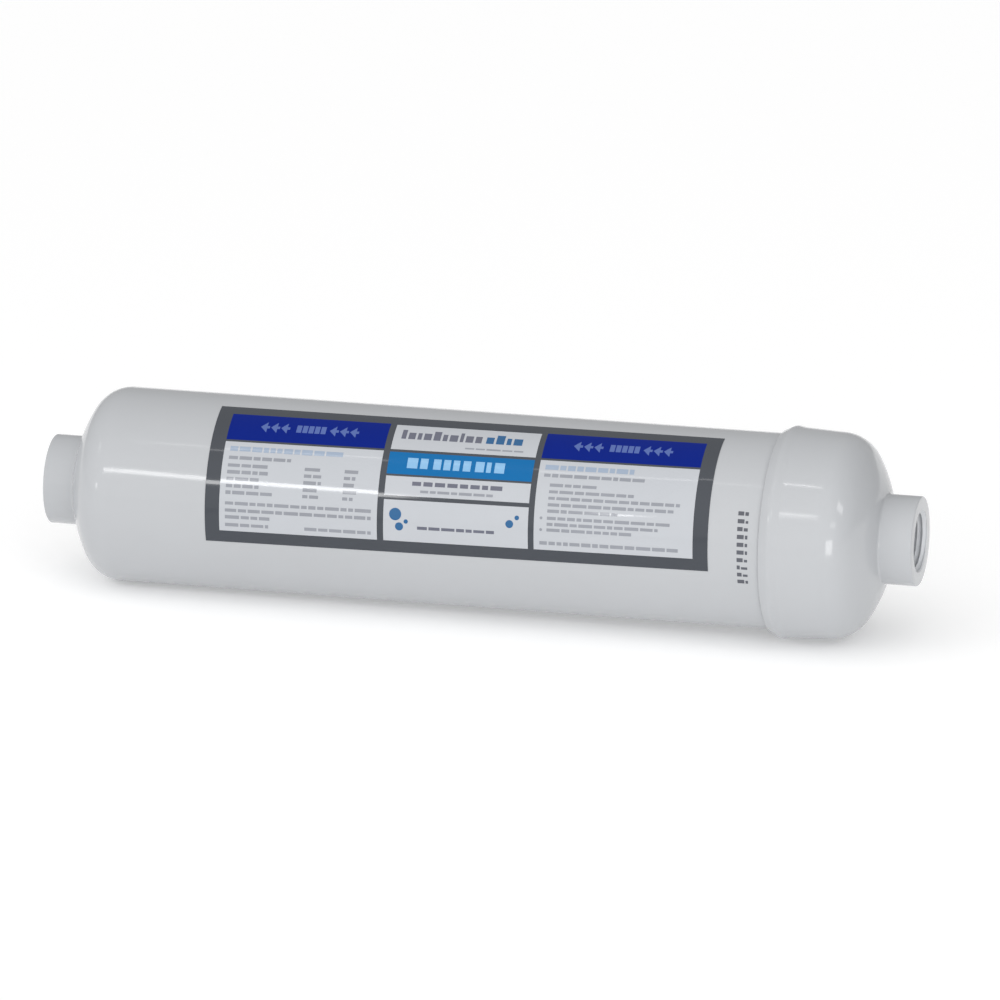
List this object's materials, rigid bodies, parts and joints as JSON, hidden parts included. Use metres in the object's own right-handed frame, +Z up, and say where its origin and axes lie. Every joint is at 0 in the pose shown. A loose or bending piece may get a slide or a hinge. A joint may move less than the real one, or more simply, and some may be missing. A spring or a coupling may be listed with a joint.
{
  "type": "inline water filter",
  "caption": "Cylindrical sealed water filter cartridge with domed ends, a welded end cap, a threaded port at each end and a printed wrap label.",
  "frame": {"origin": "centre of the housing, on its axis, midway between the two port faces", "axes": "+X along the housing from the outlet port to the inlet port (the welded cap end), +Z up, -Y the side the label faces"},
  "size_m": [0.3, 0.0714, 0.0714],
  "materials": {
    "housing": "semi-gloss moulded, light silver grey",
    "weld": "melted plastic",
    "label_film": "printed film, dark grey border with white and blue fields",
    "carbon": "sintered carbon, matt black",
    "felt": "white nonwoven felt",
    "netting": "natural moulded plastic net",
    "cartridge_plastic": "white moulded plastic",
    "glue": "set hot-melt adhesive",
    "seal": "matt black rubber"
  },
  "bodies": {
    "root": {"body_shell": "housing", "end_cap": "housing", "spin_weld_bead": "weld", "label": "label_film", "carbon_block": "carbon", "prefilter_wrap": "felt", "outer_netting": "netting", "core_tube": "cartridge_plastic", "core_wrap": "felt", "outlet_glue_ring": "glue", "inlet_glue_ring": "glue", "outlet_end_disc": "cartridge_plastic", "blind_end_disc": "cartridge_plastic", "neck_seal_outer": "seal", "neck_seal_inner": "seal"}
  },
  "joints": []
}
